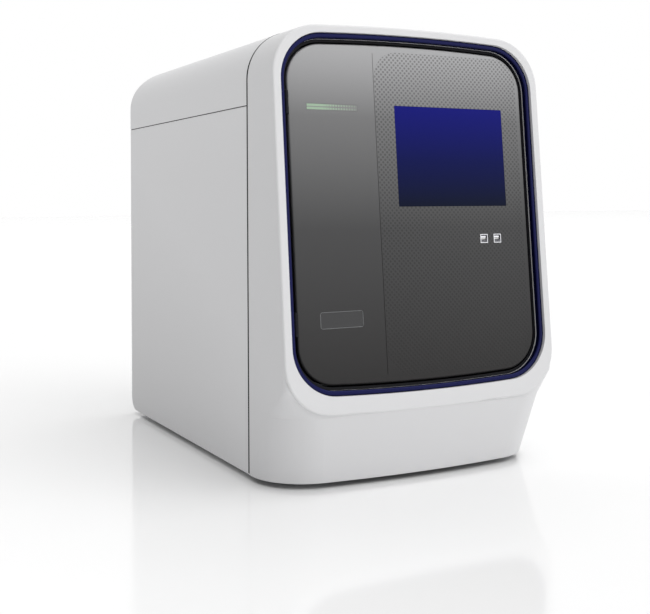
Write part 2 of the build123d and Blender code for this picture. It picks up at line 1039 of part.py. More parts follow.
def fold_mirror():
    width = 2 * (housing_half_x - housing_wall - hair)
    mirror_plate = Box(width, mirror_length, mirror_thick)
    place = Pos(0, mirror_y, shelf_top + mirror_rise) * Rot(45, 0, 0)
    return place * mirror_plate


def filter_wheel(side):
    x = side * wheel_x
    wheel = rod_y(wheel_radius, x, wheel_height, wheel_y - wheel_thick, wheel_y)
    wheel -= rod_y(shaft_radius + running_gap, x, wheel_height, wheel_y - wheel_thick, wheel_y)
    for index in range(filter_count):
        angle = radians(index * 360 / filter_count)
        hole_x = x + filter_orbit * sin(angle)
        hole_z = wheel_height + filter_orbit * cos(angle)
        wheel -= rod_y(filter_radius, hole_x, hole_z, wheel_y - wheel_thick, wheel_y)
    return wheel


def wheel_motors():
    group = []
    for side in (-1, 1):
        x = side * wheel_x
        y0 = wheel_y + motor_gap
        y1 = y0 + motor_length
        z0 = wheel_height - motor_half
        body = span(x - motor_half, x + motor_half, y0, y1, z0, wheel_height + motor_half)
        body += rod_y(shaft_radius, x, wheel_height, wheel_y - wheel_thick, y0)
        body += span(x - motor_half, x + motor_half, y1 - bracket_thick, y1, shelf_top, z0)
        body += span(x - motor_half, x + motor_half, y0, y1, shelf_top, shelf_top + bracket_thick)
        group.append(body)
    return Compound(children=group)


def optic_unit(side):
    # box on a leg behind a filter wheel, with a short snout towards the filters
    x = side * wheel_x
    z = wheel_height + filter_orbit + unit_rise
    y0 = wheel_y + unit_gap
    y1 = y0 + unit_length
    z0 = wheel_height + motor_half + sheet
    z1 = z + unit_half
    body = span(x - unit_half, x + unit_half, y0, y1, z0, z1)
    body = fillet(body.edges().filter_by(Axis.Y), unit_rise * half * half)
    body += rod_y(filter_radius, x, wheel_height + filter_orbit, wheel_y + sheet, y0)
    leg_y0 = y1 - unit_leg
    return body + span(x - unit_half, x + unit_half, leg_y0, y1, shelf_top, z0 + unit_rise)


def lamp_module():
    return optic_unit(1)


def camera_module():
    return optic_unit(-1)


def rear_panel():
    z0 = foot_height + seat_gap
    z1 = side_seam_height - seam_gap
    half_x = half_width - cover_flange - seat_gap
    panel = span(-half_x, half_x, panel_front, panel_back, z0, z1)
    for side in (-1, 1):
        panel -= rod_y(fan_bore, side * fan_x, fan_height, panel_front, panel_back)
    bay_x = (bay_left + bay_right) * half
    panel -= window_y(bay_x, inlet_height, (bay_right - bay_left) * half, bay_half_z)
    first = vent_height - vent_pitch * (vent_count - 1) * half
    for index in range(vent_count):
        z = first + index * vent_pitch
        panel -= window_y(vent_x, z, vent_length * half, vent_width * half)
    return panel


def connector_plate():
    # carries the sockets and the key, and lies on the inner face of the rear panel
    z0 = inlet_height - bay_half_z - bay_lap
    z1 = inlet_height + bay_half_z + bay_lap
    plate = span(bay_left - bay_lap, bay_right + bay_lap, panel_front - rear_sheet, panel_front, z0, z1)
    plate -= window_y(inlet_x, inlet_height, inlet_half_x + hair, inlet_half_z + hair)
    rocker_x_half = rocker_half_x + rocker_frame + hair
    plate -= window_y(rocker_x, inlet_height, rocker_x_half, rocker_half_z + rocker_frame + hair)
    for x in data_places():
        plate -= window_y(x, inlet_height, data_half + hair, data_half + hair)
    return plate


def window_y(x, z, half_x, half_z):
    y0 = panel_front - rear_sheet
    return span(x - half_x, x + half_x, y0, panel_back, z - half_z, z + half_z)


def data_places():
    return [data_x - data_pitch * half, data_x + data_pitch * half]


def fan_housings():
    group = []
    y0 = panel_front - fan_length
    for side in (-1, 1):
        x = side * fan_x
        low = fan_height - fan_half
        high = fan_height + fan_half
        body = span(x - fan_half, x + fan_half, y0, panel_front, low, high)
        body = fillet(body.edges().filter_by(Axis.Y), rim_round)
        body -= rod_y(fan_bore, x, fan_height, y0, panel_front)
        body += rod_y(hub_radius, x, fan_height, y0, y0 + fan_floor)
        for turn in (0, 90):
            strut = Box(2 * fan_bore + fan_floor, fan_floor, spoke_width)
            body += Pos(x, y0 + fan_floor * half, fan_height) * Rot(0, 45 + turn, 0) * strut
        body += rod_y(shaft_radius, x, fan_height, y0, y0 + fan_length - fan_floor)
        group.append(body)
    return Compound(children=group)


def fan_rotor(side):
    x = side * fan_x
    y0 = panel_front - fan_length + fan_floor + rotor_gap
    y1 = panel_front - fan_floor
    rotor = rod_y(hub_radius, x, fan_height, y0, y1)
    mid_y = (y0 + y1) * half
    reach = blade_reach - hub_radius + fan_floor
    for index in range(blade_count):
        blade = Box(reach, blade_thick, (y1 - y0) * half)
        blade = Pos(hub_radius - fan_floor + reach * half, 0, 0) * Rot(blade_pitch, 0, 0) * blade
        turn = Rot(0, index * 360 / blade_count, 0)
        rotor += Pos(x, mid_y, fan_height) * turn * blade
    return rotor - rod_y(shaft_radius + running_gap, x, fan_height, y0, y1)


def fan_guards():
    group = []
    y0 = panel_back
    for side in (-1, 1):
        x = side * fan_x
        guard = rod_y(hub_pocket, x, fan_height, y0, y0 + guard_thick)
        gap = (fan_bore + guard_bar - hub_pocket) / guard_rings
        for index in range(1, guard_rings + 1):
            outer = hub_pocket + index * gap
            ring = rod_y(outer, x, fan_height, y0, y0 + guard_thick)
            guard += ring - rod_y(outer - guard_bar, x, fan_height, y0, y0 + guard_thick)
        for turn in (0, 90):
            spoke = Box(2 * fan_bore, guard_thick, spoke_width)
            guard += Pos(x, y0 + guard_thick * half, fan_height) * Rot(0, 45 + turn, 0) * spoke
        group.append(guard)
    return Compound(children=group)


def power_inlet():
    y0 = panel_back + inlet_lip - inlet_depth
    y1 = rear_limit
    z = inlet_height
    half_x = inlet_half_x
    half_z = inlet_half_z
    body = span(inlet_x - half_x, inlet_x + half_x, y0, y1, z - half_z, z + half_z)
    wall = inlet_lip
    left = inlet_x - half_x + wall
    right = inlet_x + half_x - wall
    body -= span(left, right, y0 + wall, y1, z - half_z + wall, z + half_z - wall)
    for index in (-1, 0, 1):
        x = inlet_x + index * inlet_pin_pitch
        pin_z = z + inlet_pin if index == 0 else z - inlet_pin
        x0 = x - inlet_pin * half
        body += span(x0, x0 + inlet_pin, y0, y1 - rear_standoff, pin_z - inlet_pin, pin_z + inlet_pin)
    return body


def rocker_frame_part():
    z = inlet_height
    half_x = rocker_half_x + rocker_frame
    half_z = rocker_half_z + rocker_frame
    y0 = panel_back - rocker_depth - rocker_frame
    body = span(rocker_x - half_x, rocker_x + half_x, y0, panel_back, z - half_z, z + half_z)
    x0 = rocker_x - rocker_half_x - seat_gap
    x1 = rocker_x + rocker_half_x + seat_gap
    inner_z = rocker_half_z + rocker_side_gap
    body -= span(x0, x1, y0 + rocker_frame, panel_back, z - inner_z, z + inner_z)
    return body - trunnions(trunnion_radius + running_gap, trunnion_reach + hair)


def trunnions(radius, reach):
    # round bar across the key on its pivot axis
    pivot_y = panel_back - rocker_depth * half
    length = 2 * (rocker_half_x + reach)
    return Pos(rocker_x, pivot_y, inlet_height) * Rot(0, 90, 0) * Cylinder(radius, length)


def power_rocker():
    # see-saw key: one half stands proud, the other lies level with its frame
    pivot_y = panel_back - rocker_depth * half
    z = inlet_height
    reach = rocker_half_z - rocker_end_gap
    tip = panel_back + rocker_rise
    points = [
        (pivot_y - rocker_frame, z - rocker_frame),
        (pivot_y - rocker_frame, z + rocker_frame),
        (panel_back - rocker_frame, z + reach),
        (panel_back - rocker_frame * half, z + reach),
        (panel_back, z),
        (tip, z - reach),
        (panel_back - rocker_frame, z - reach),
    ]
    profile = make_face(Polyline(*points, close=True))
    key = along_x(profile, rocker_x - rocker_half_x, rocker_x + rocker_half_x)
    return key + trunnions(trunnion_radius, trunnion_reach)


def data_ports():
    group = []
    y0 = panel_back - data_depth
    y1 = panel_back + data_rim
    z = inlet_height
    for x in data_places():
        body = span(x - data_half, x + data_half, y0, y1, z - data_half, z + data_half)
        inner = data_half - data_rim
        group.append(body - span(x - inner, x + inner, y0 + data_rim, y1, z - inner, z + inner))
    return Compound(children=group)


def cover_screws():
    group = []
    half_x = half_width - cover_flange - screw_inset
    z0 = foot_height + pan_flange
    step = (side_seam_height - z0 - pan_flange) / (screw_rows - 1)
    for side in (-1, 1):
        for row in range(screw_rows):
            z = z0 + row * step
            head = rod_y(screw_radius, side * half_x, z, panel_back, panel_back + screw_head)
            group.append(head)
    return Compound(children=group)


def power_supply():
    x0 = supply_x - supply_half_x
    x1 = supply_x + supply_half_x
    y0 = supply_front
    y1 = y0 + supply_length
    z0 = foot_height + sheet
    body = span(x0, x1, y0, y1, z0, z0 + supply_height)
    body = chamfer(body.edges().filter_by(Axis.Y), sheet)
    first = (y0 + y1) * half - supply_slot_pitch * (supply_slots - 1) * half
    for index in range(supply_slots):
        y = first + index * supply_slot_pitch
        left = x0 + supply_slot_pitch
        right = x1 - supply_slot_pitch
        top = z0 + supply_height
        body -= span(left, right, y, y + supply_slot_width, top - sheet, top)
    return body


def board_corners():
    y0 = board_front + standoff_inset
    y1 = board_front + board_length - standoff_inset
    z0 = board_bottom + standoff_inset
    z1 = board_bottom + board_height - standoff_inset
    return [(y0, z0), (y0, z1), (y1, z0), (y1, z1)]


def control_board():
    x0 = -frame_x + board_standoff
    x1 = x0 + board_thick
    board = span(x0, x1, board_front, board_front + board_length, board_bottom, board_bottom + board_height)
    mid_z = board_bottom + board_height * half
    for index in range(chip_count):
        y = board_front + chip_pitch * (index + half)
        size = chip_size * half
        board += span(x1, x1 + chip_thick, y - size, y + size, mid_z - size, mid_z + size)
    return board


def board_standoffs():
    group = []
    for y, z in board_corners():
        post = Pos(-frame_x + board_standoff * half, y, z) * Rot(0, 90, 0)
        group.append(post * Cylinder(standoff_radius, board_standoff))
    return Compound(children=group)


parts = {
    "base_pan": base_pan(),
    "rubber_feet": rubber_feet(),
    "left_frame": left_frame(),
    "right_frame": right_frame(),
    "front_bulkhead": front_bulkhead(),
    "deck_plate": deck_plate(),
    "optics_shelf": optics_shelf(),
    "left_side_cover": left_side_cover(),
    "right_side_cover": right_side_cover(),
    "top_cover": top_cover(),
    "front_hood": front_hood(),
    "trim_ring": trim_ring(),
    "jamb_liner": jamb_liner(),
    "rear_panel": rear_panel(),
    "cover_screws": cover_screws(),
    "connector_plate": connector_plate(),
    "fan_guards": fan_guards(),
    "fan_housings": fan_housings(),
    "left_fan_rotor": fan_rotor(-1),
    "right_fan_rotor": fan_rotor(1),
    "power_inlet": power_inlet(),
    "rocker_frame": rocker_frame_part(),
    "power_rocker": power_rocker(),
    "data_ports": data_ports(),
    "door_panel": door_panel(),
    "door_liner": door_liner(),
    "touchscreen_glass": touchscreen_glass(),
    "display_module": display_module(),
    "front_usb_ports": usb_ports(),
    "status_light": status_light(),
    "badge_plate": badge_plate(),
    "door_striker": door_striker(),
    "hinge_brackets": hinge_brackets(),
    "hinge_leaves": hinge_leaves(),
    "hinge_pins": hinge_pins(),
    "door_latch": door_latch(),
    "latch_plunger": latch_plunger(),
    "door_gasket": door_gasket(),
    "block_rails": block_rails(),
    "heat_sink": heat_sink(),
    "thermoelectric_modules": thermoelectric_modules(),
    "sample_block": sample_block(),
    "block_shroud": block_shroud(),
    "tray_frame": tray_frame(),
    "plate_holder": plate_holder(),
    "tray_hatch": tray_hatch(),
    "tray_guides": tray_guides(),
    "heated_cover": heated_cover(),
    "cover_posts": cover_posts(),
    "optics_housing": optics_housing(),
    "field_lens": field_lens(),
    "fold_mirror": fold_mirror(),
    "emission_filter_wheel": filter_wheel(-1),
    "excitation_filter_wheel": filter_wheel(1),
    "wheel_motors": wheel_motors(),
    "lamp_module": lamp_module(),
    "camera_module": camera_module(),
    "power_supply": power_supply(),
    "control_board": control_board(),
    "board_standoffs": board_standoffs(),
}

os.makedirs("parts", exist_ok=True)
for name, shape in parts.items():
    export_step(shape, f"parts/{name}.step")
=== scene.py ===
import json
import math

import bmesh
import bpy
from mathutils import Matrix, Vector


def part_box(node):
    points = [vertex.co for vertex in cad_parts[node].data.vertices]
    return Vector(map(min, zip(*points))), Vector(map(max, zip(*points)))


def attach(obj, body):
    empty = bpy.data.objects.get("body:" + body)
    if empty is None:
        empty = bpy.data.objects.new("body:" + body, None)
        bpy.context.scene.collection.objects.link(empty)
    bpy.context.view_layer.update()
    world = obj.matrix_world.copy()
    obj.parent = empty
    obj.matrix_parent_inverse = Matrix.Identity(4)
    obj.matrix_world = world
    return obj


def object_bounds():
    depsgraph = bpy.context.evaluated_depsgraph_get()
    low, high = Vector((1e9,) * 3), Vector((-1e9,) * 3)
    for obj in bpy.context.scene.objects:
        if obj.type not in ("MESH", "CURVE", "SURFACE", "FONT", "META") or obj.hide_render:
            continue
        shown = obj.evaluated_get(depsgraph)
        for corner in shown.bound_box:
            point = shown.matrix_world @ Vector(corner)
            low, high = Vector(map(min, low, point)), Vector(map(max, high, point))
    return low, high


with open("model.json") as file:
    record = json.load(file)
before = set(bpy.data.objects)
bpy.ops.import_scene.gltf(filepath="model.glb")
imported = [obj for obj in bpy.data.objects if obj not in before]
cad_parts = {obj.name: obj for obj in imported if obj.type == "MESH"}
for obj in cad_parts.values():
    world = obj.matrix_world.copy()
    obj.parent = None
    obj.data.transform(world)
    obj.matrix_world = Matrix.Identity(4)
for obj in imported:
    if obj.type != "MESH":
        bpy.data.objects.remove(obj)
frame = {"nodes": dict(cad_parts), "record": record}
cadLow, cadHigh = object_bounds()
nodes = frame["nodes"]
print("loaded", len(nodes), "nodes")

# Shader maths


class Sock:
    # one shader value, so that maths on it reads as maths
    def __init__(self, tree, socket):
        self.tree = tree
        self.socket = socket

    def math(self, operation, *others, clamp=False):
        node = self.tree.nodes.new("ShaderNodeMath")
        node.operation = operation
        node.use_clamp = clamp
        for slot, value in zip(node.inputs, (self, *others)):
            if isinstance(value, Sock):
                self.tree.links.new(value.socket, slot)
            else:
                slot.default_value = value
        return Sock(self.tree, node.outputs[0])

    def __add__(self, other):
        return self.math("ADD", other)

    __radd__ = __add__

    def __sub__(self, other):
        return self.math("SUBTRACT", other)

    def __rsub__(self, other):
        return self.math("MULTIPLY", -1.0).math("ADD", other)

    def __mul__(self, other):
        return self.math("MULTIPLY", other)

    __rmul__ = __mul__

    def __truediv__(self, other):
        return self.math("DIVIDE", other)

    def __lt__(self, other):
        return self.math("LESS_THAN", other)

    def __abs__(self):
        return self.math("ABSOLUTE")

    def ramp(self, low, high):
        # 0 at low, 1 at high, straight between
        return ((self - low) / (high - low)).math("ADD", 0.0, clamp=True)


class Finish:
    # one material: constants on its shader, patterns through the methods below
    def __init__(self, name, **surface):
        self.material = bpy.data.materials.new(name)
        self.material.use_nodes = True
        self.tree = self.material.node_tree
        self.shader = self.tree.nodes["Principled BSDF"]
        for key, value in surface.items():
            self.shader.inputs[key].default_value = value

    def add(self, kind, settings=None, sockets=None, out=0):
        node = self.tree.nodes.new(kind)
        for key, value in (settings or {}).items():
            if key == "stops":
                fillRamp(node.color_ramp, value)
            else:
                setattr(node, key, value)
        for key, value in (sockets or {}).items():
            if isinstance(value, Sock):
                self.tree.links.new(value.socket, node.inputs[key])
            else:
                node.inputs[key].default_value = value
        return Sock(self.tree, node.outputs[out])

    def feed(self, slotName, value):
        self.tree.links.new(value.socket, self.shader.inputs[slotName])

    def objectPoint(self, centre=(0, 0, 0), tilt=0.0):
        point = self.add("ShaderNodeTexCoord", out=3)
        back = [-part for part in centre]
        moved = self.add("ShaderNodeMapping", None, {0: point, 1: back})
        return self.add("ShaderNodeMapping", None, {0: moved, 2: (tilt, 0, 0)})

    def axes(self, point):
        node = self.tree.nodes.new("ShaderNodeSeparateXYZ")
        self.tree.links.new(point.socket, node.inputs[0])
        return [Sock(self.tree, output) for output in node.outputs]

    def noise(self, point, scale, detail=2.0):
        return self.add("ShaderNodeTexNoise", None, {0: point, "Scale": scale, "Detail": detail})

    def mix(self, factor, first, second):
        return self.add("ShaderNodeMix", {"data_type": "RGBA"}, {0: factor, 6: first, 7: second}, out=2)

    def rampColour(self, value, stops):
        return self.add("ShaderNodeValToRGB", {"stops": stops}, {0: value})

    def bump(self, height, strength, distance):
        sockets = {"Height": height, "Strength": strength, "Distance": distance}
        self.feed("Normal", self.add("ShaderNodeBump", None, sockets))


def fillRamp(ramp, stops):
    while len(ramp.elements) < len(stops):
        ramp.elements.new(0.5)
    for element, (place, colour) in zip(ramp.elements, stops):
        element.position = place
        element.color = (*colour, 1.0)


def rgb(red, green, blue):
    return (red, green, blue, 1.0)


def shade(colour, factor):
    return rgb(*(min(1.0, part * factor) for part in colour[:3]))


# Finishes

faceTilt = math.radians(5.04)  # the face leans back by this much


def mouldedFinish(name, colour, roughness, shine=0.5, spread=0.03):
    made = Finish(name, **{"Specular IOR Level": shine})
    point = made.objectPoint()
    cloud = made.noise(point, 3.0)
    grain = made.noise(point, 1100.0)
    made.feed("Base Color", made.mix(cloud, shade(colour, 1 - spread), shade(colour, 1 + spread)))
    made.feed("Roughness", grain * 0.1 + (roughness - 0.05))
    made.bump(grain, 0.2, 0.00002)
    return made.material


def metalFinish(name, colour, roughness, brush=(1, 1, 40)):
    made = Finish(name, Metallic=1.0)
    point = made.objectPoint()
    stretched = made.add("ShaderNodeMapping", None, {0: point, 3: brush})
    streak = made.noise(stretched, 60.0, 4.0)
    cloud = made.noise(point, 9.0)
    made.feed("Base Color", made.mix(cloud, shade(colour, 0.92), shade(colour, 1.08)))
    made.feed("Roughness", streak * 0.16 + (roughness - 0.08))
    made.bump(streak, 0.2, 0.00003)
    return made.material


def paintFinish(name, colour, roughness, metallic=0.0, coat=0.3, sparkle=1.6, shine=0.5):
    made = Finish(name, **{"Metallic": metallic, "Coat Weight": coat, "Coat Roughness": 0.08})
    made.shader.inputs["Specular IOR Level"].default_value = shine
    point = made.objectPoint()
    speck = made.noise(point, 2400.0).ramp(0.45, 0.75)
    orange = made.noise(point, 420.0)
    made.feed("Base Color", made.mix(speck, colour, shade(colour, sparkle)))
    made.feed("Roughness", orange * 0.08 + (roughness - 0.04))
    made.bump(orange, 0.15, 0.00003)
    return made.material


def glassFinish(name, colour, alpha):
    made = Finish(name, **{"IOR": 1.5, "Alpha": alpha, "Coat Weight": 0.6})
    point = made.objectPoint()
    smear = made.noise(point, 14.0)
    made.feed("Base Color", made.mix(smear, shade(colour, 0.95), shade(colour, 1.05)))
    made.feed("Roughness", smear * 0.05 + 0.03)
    return made.material


coverPaintedShade = {  # the large white mouldings, with painted shade: a little darker towards the foot and the rear
    "colour": rgb(0.70, 0.70, 0.71),
    "paintedFootShade": 0.86,
    "lowest": -0.12,
    "footHeight": 0.30,
    "rearShare": 0.5,
    "roughness": 0.42,
}


def coverFinish(name, spec, gain=1.0):
    made = Finish(name, **{"Coat Weight": 0.06, "Coat Roughness": 0.25})
    point = made.objectPoint()
    _, y, z = made.axes(point)
    # painted shade: the colour darkens towards the foot and the rear
    lift = (z - y * spec["rearShare"]).ramp(spec["lowest"], spec["footHeight"])
    grain = made.noise(point, 1100.0)
    cloud = made.noise(point, 2.5) * 0.06 + 0.97
    low = shade(spec["colour"], spec["paintedFootShade"] * gain)
    high = shade(spec["colour"], gain)
    made.feed("Base Color", made.mix(lift * cloud, low, high))
    made.feed("Roughness", grain * 0.1 + (spec["roughness"] - 0.05))
    made.bump(grain, 0.2, 0.00002)
    return made.material


doorSkinAndPaintedSheen = {  # dark metallic panel, dimpled to the right of its groove, with a painted reflection from dark at the foot to light at the top
    "shades": [  # painted reflection, from the foot to the top
        (0.0, (0.020, 0.019, 0.019)),
        (0.45, (0.050, 0.050, 0.051)),
        (0.78, (0.14, 0.14, 0.142)),
        (1.0, (0.33, 0.33, 0.335)),
    ],
    "fieldLeft": -0.0585,
    "fieldRight": 0.1880,
    "fieldHalfHeight": 0.2290,
    "fieldRound": 0.038,
    "dimplePitch": 0.0072,
    "dimpleRadius": 0.0021,
    # painted shade in the dimples: how far they are darkened, and towards which colour
    "dimplePaintedShade": 0.50,
    "dimpleShadeColour": rgb(0.02, 0.02, 0.02),
    "dimpleDepth": 0.0004,
    "roughness": 0.40,
}


def roundedField(x, z, spec):
    # 1 inside the dimpled area, 0 outside
    middle = (spec["fieldLeft"] + spec["fieldRight"]) / 2
    halfWide = (spec["fieldRight"] - spec["fieldLeft"]) / 2
    corner = spec["fieldRound"]
    across = (abs(x - middle) - (halfWide - corner)).math("MAXIMUM", 0.0)
    upward = (abs(z) - (spec["fieldHalfHeight"] - corner)).math("MAXIMUM", 0.0)
    return (across * across + upward * upward).math("SQRT") < corner


def staggeredDots(x, z, pitch, radius):
    # round dots in rows half a pitch apart, every other row shifted
    row = (z / (pitch * 0.5)).math("FLOOR")
    shifted = x / pitch + abs(row.math("MODULO", 2.0)) * 0.5
    across = abs(shifted.math("FRACT") - 0.5) * pitch
    upward = abs((z / (pitch * 0.5)).math("FRACT") - 0.5) * (pitch * 0.5)
    reach = (across * across + upward * upward).math("SQRT")
    return 1.0 - reach.ramp(radius * 0.55, radius)


def doorFinish():
    spec = doorSkinAndPaintedSheen
    low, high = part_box("door_panel")
    made = Finish("doorGraphite", **{"Metallic": 0.4, "Specular IOR Level": 0.25})
    point = made.objectPoint(centre=(low + high) / 2, tilt=faceTilt)
    x, _, z = made.axes(point)
    # painted reflection: the panel's colour runs from near black at the foot to light grey at the top
    ramp = made.rampColour(z / (high.z - low.z) + 0.5, spec["shades"])
    dots = staggeredDots(x, z, spec["dimplePitch"], spec["dimpleRadius"]) * roundedField(x, z, spec)
    grain = made.noise(point, 900.0)
    # painted shade: the dimples are darkened
    made.feed("Base Color", made.mix(dots * spec["dimplePaintedShade"], ramp, spec["dimpleShadeColour"]))
    made.feed("Roughness", grain * 0.1 + (spec["roughness"] - 0.05))
    made.bump(grain * 0.03 - dots, 0.35, spec["dimpleDepth"])
    return made.material


screenGlow = {  # plain blue screen, from its lower to its upper edge
    "shades": [
        (0.0, (0.002, 0.004, 0.014)),
        (0.45, (0.002, 0.004, 0.050)),
        (1.0, (0.004, 0.005, 0.120)),
    ],
    "roughness": 0.18,
}


def screenFinish():
    spec = screenGlow
    low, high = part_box("touchscreen_glass")
    made = Finish("screenGlass", **{"Specular IOR Level": 0.05, "Emission Strength": 0.5})
    point = made.objectPoint(centre=(low + high) / 2, tilt=faceTilt)
    z = made.axes(point)[2]
    ramp = made.rampColour(z / (high.z - low.z) + 0.5, spec["shades"])
    smear = made.noise(point, 22.0)
    made.feed("Base Color", ramp)
    made.feed("Emission Color", ramp)
    made.feed("Roughness", smear * 0.08 + spec["roughness"])
    return made.material


lightBar = {  # fine holes in two rows, lit from behind
    "offColour": rgb(0.20, 0.20, 0.20),
    "litColour": rgb(0.30, 0.40, 0.30),
    "glow": rgb(0.08, 0.22, 0.08),
    "pitch": 0.0042,
    "rowPitch": 0.0045,
    "dotReach": 0.42,
}


def lightBarFinish():
    # two rows of fine holes: run together on the left, apart and fading on the right
    spec = lightBar
    low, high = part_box("status_light")
    made = Finish("lightGreen", **{"Emission Strength": 0.25})
    point = made.objectPoint(centre=(low + high) / 2, tilt=faceTilt)
    x, _, z = made.axes(point)
    across = abs((x / spec["pitch"]).math("FRACT") - 0.5)
    upward = abs((z / spec["rowPitch"]).math("FRACT") - 0.5)
    reach = (across * across + upward * upward).math("SQRT")
    hole = 1.0 - reach.ramp(spec["dotReach"] * 0.5, spec["dotReach"])
    row = 1.0 - upward.ramp(0.2, 0.5)
    along = x / (high.x - low.x) + 0.5
    joined = 1.0 - along.ramp(0.30, 0.60)
    fade = 1.0 - along.ramp(0.55, 1.0) * 0.8
    lit = (hole.math("MAXIMUM", joined * row) * fade).math("MINIMUM", 1.0)
    made.feed("Base Color", made.mix(lit, spec["offColour"], spec["litColour"]))
    made.feed("Emission Color", made.mix(lit, rgb(0, 0, 0), spec["glow"]))
    made.feed("Roughness", hole * 0.1 + 0.4)
    return made.material


finishes = {
    "cover_white": coverFinish("coverWhite", coverPaintedShade, 1.05),
    "hood_white": coverFinish("hoodWhite", coverPaintedShade, 1.0),
    "navy_trim": paintFinish(
        "navyTrim",
        rgb(0.002, 0.003, 0.034),
        0.2,
        metallic=0.6,
        coat=0.08,
        sparkle=2.0,
        shine=0.12,
    ),
    "black_plastic": mouldedFinish("blackPlastic", rgb(0.006, 0.006, 0.008), 0.45, shine=0.12, spread=0.1),
    "door_graphite": doorFinish(),
    "screen_glass": screenFinish(),
    "light_green": lightBarFinish(),
    "badge_black": paintFinish("badgeBlack", rgb(0.022, 0.022, 0.023), 0.35, metallic=0.3, shine=0.2),
    "port_metal": metalFinish("portMetal", rgb(0.50, 0.50, 0.52), 0.3),
    "zinc_steel": metalFinish("zincSteel", rgb(0.52, 0.53, 0.55), 0.42, brush=(1, 12, 12)),
    "bulkhead_grey": paintFinish("bulkheadGrey", rgb(0.13, 0.135, 0.14), 0.5),
    "bright_steel": metalFinish("brightSteel", rgb(0.60, 0.60, 0.62), 0.28),
    "aluminium": metalFinish("machinedAluminium", rgb(0.70, 0.71, 0.73), 0.33, brush=(30, 1, 1)),
    "holder_white": mouldedFinish("holderWhite", rgb(0.62, 0.62, 0.60), 0.5),
    "ceramic_white": mouldedFinish("ceramicWhite", rgb(0.75, 0.74, 0.70), 0.5),
    "optics_black": paintFinish("opticsBlack", rgb(0.015, 0.015, 0.017), 0.55),
    "lens_glass": glassFinish("lensGlass", rgb(0.80, 0.86, 0.90), 0.35),
    "mirror_glass": metalFinish("mirrorGlass", rgb(0.86, 0.87, 0.88), 0.12, brush=(1, 1, 1)),
    "board_green": paintFinish("boardGreen", rgb(0.02, 0.13, 0.05), 0.35),
    "standoff_brass": metalFinish("standoffBrass", rgb(0.62, 0.43, 0.16), 0.3),
    "rubber_black": mouldedFinish("rubberBlack", rgb(0.014, 0.014, 0.014), 0.8, shine=0.15, spread=0.15),
}
for row in frame["record"]["subparts"]:
    piece = nodes[row["node"]]
    piece.data.materials.clear()
    piece.data.materials.append(finishes[row["material_slot"]])
print("finishes given:", len(finishes))

# Pieces of detail


def addPiece(name, form, slotName, bodyName):
    # turns a finished bmesh into a piece that rides on a body
    bmesh.ops.recalc_face_normals(form, faces=form.faces)
    mesh = bpy.data.meshes.new(name)
    form.to_mesh(mesh)
    form.free()
    mesh.materials.append(finishes[slotName])
    piece = bpy.data.objects.new(name, mesh)
    bpy.context.scene.collection.objects.link(piece)
    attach(piece, bodyName)
    return piece


faceOrigin = Vector((0, -0.3169, 0.3785))  # middle of the rim's front plane


def faceMatrix(x, rise, depth):
    # frame whose x runs right and y up on the leaning face, z out of it
    turn = Matrix.Rotation(math.radians(90) - faceTilt, 4, "X")
    return Matrix.Translation(faceOrigin) @ turn @ Matrix.Translation((x, rise, -depth))


def rearMatrix(x, y, z):
    # frame whose z points out of the rear
    turn = Matrix.Rotation(math.radians(-90), 4, "X")
    return Matrix.Translation((x, y, z)) @ turn


def addBlock(form, size, matrix, bevel=0.0):
    # a block about the matrix's origin, with softened edges where a bevel is given
    made = bmesh.ops.create_cube(form, size=1.0)["verts"]
    bmesh.ops.scale(form, vec=size, verts=made)
    if bevel:
        edges = list({edge for vert in made for edge in vert.link_edges})
        made = bmesh.ops.bevel(
            form,
            geom=edges,
            offset=bevel,
            segments=2,
            profile=0.5,
            affect="EDGES",
            material=-1,
        )["verts"]
    bmesh.ops.transform(form, matrix=matrix, verts=made)


def roundCorners(form, corners, reach, steps):
    bmesh.ops.bevel(
        form,
        geom=corners,
        offset=reach,
        segments=steps,
        profile=0.5,
        affect="VERTICES",
        material=-1,
    )


def cutBand(form, band, lift):
    # keeps a band along the outline of a flat face and gives it thickness
    bmesh.ops.inset_region(
        form,
        faces=form.faces[:],
        thickness=band,
        use_boundary=True,
        use_even_offset=True,
    )
    middle = max(form.faces, key=lambda face: face.calc_area())
    bmesh.ops.delete(form, geom=[middle], context="FACES_ONLY")
    made = bmesh.ops.extrude_face_region(form, geom=form.faces[:])["geom"]
    moved = [item for item in made if isinstance(item, bmesh.types.BMVert)]
    bmesh.ops.translate(form, vec=(0, 0, lift), verts=moved)


seamShadowSeal = {  # black bead over the gaps between the hood and the covers, wider than the gaps: partly a seal, partly a painted shadow line for the seams
    "plane": -0.2145,
    "width": 0.0040,
    "proud": 0.00012,
    "depth": 0.0012,
    "foot": 0.010,
    "shoulder": 0.632,
    "crown": 0.640,
    "cornerReach": 0.0670,
    "cornerSteps": 16,
    "crownSteps": 12,
    "sideHeight": 0.5285,
    "sideWidth": 0.0012,
    "sideInset": 0.0004,
    "rear": 0.334,
}


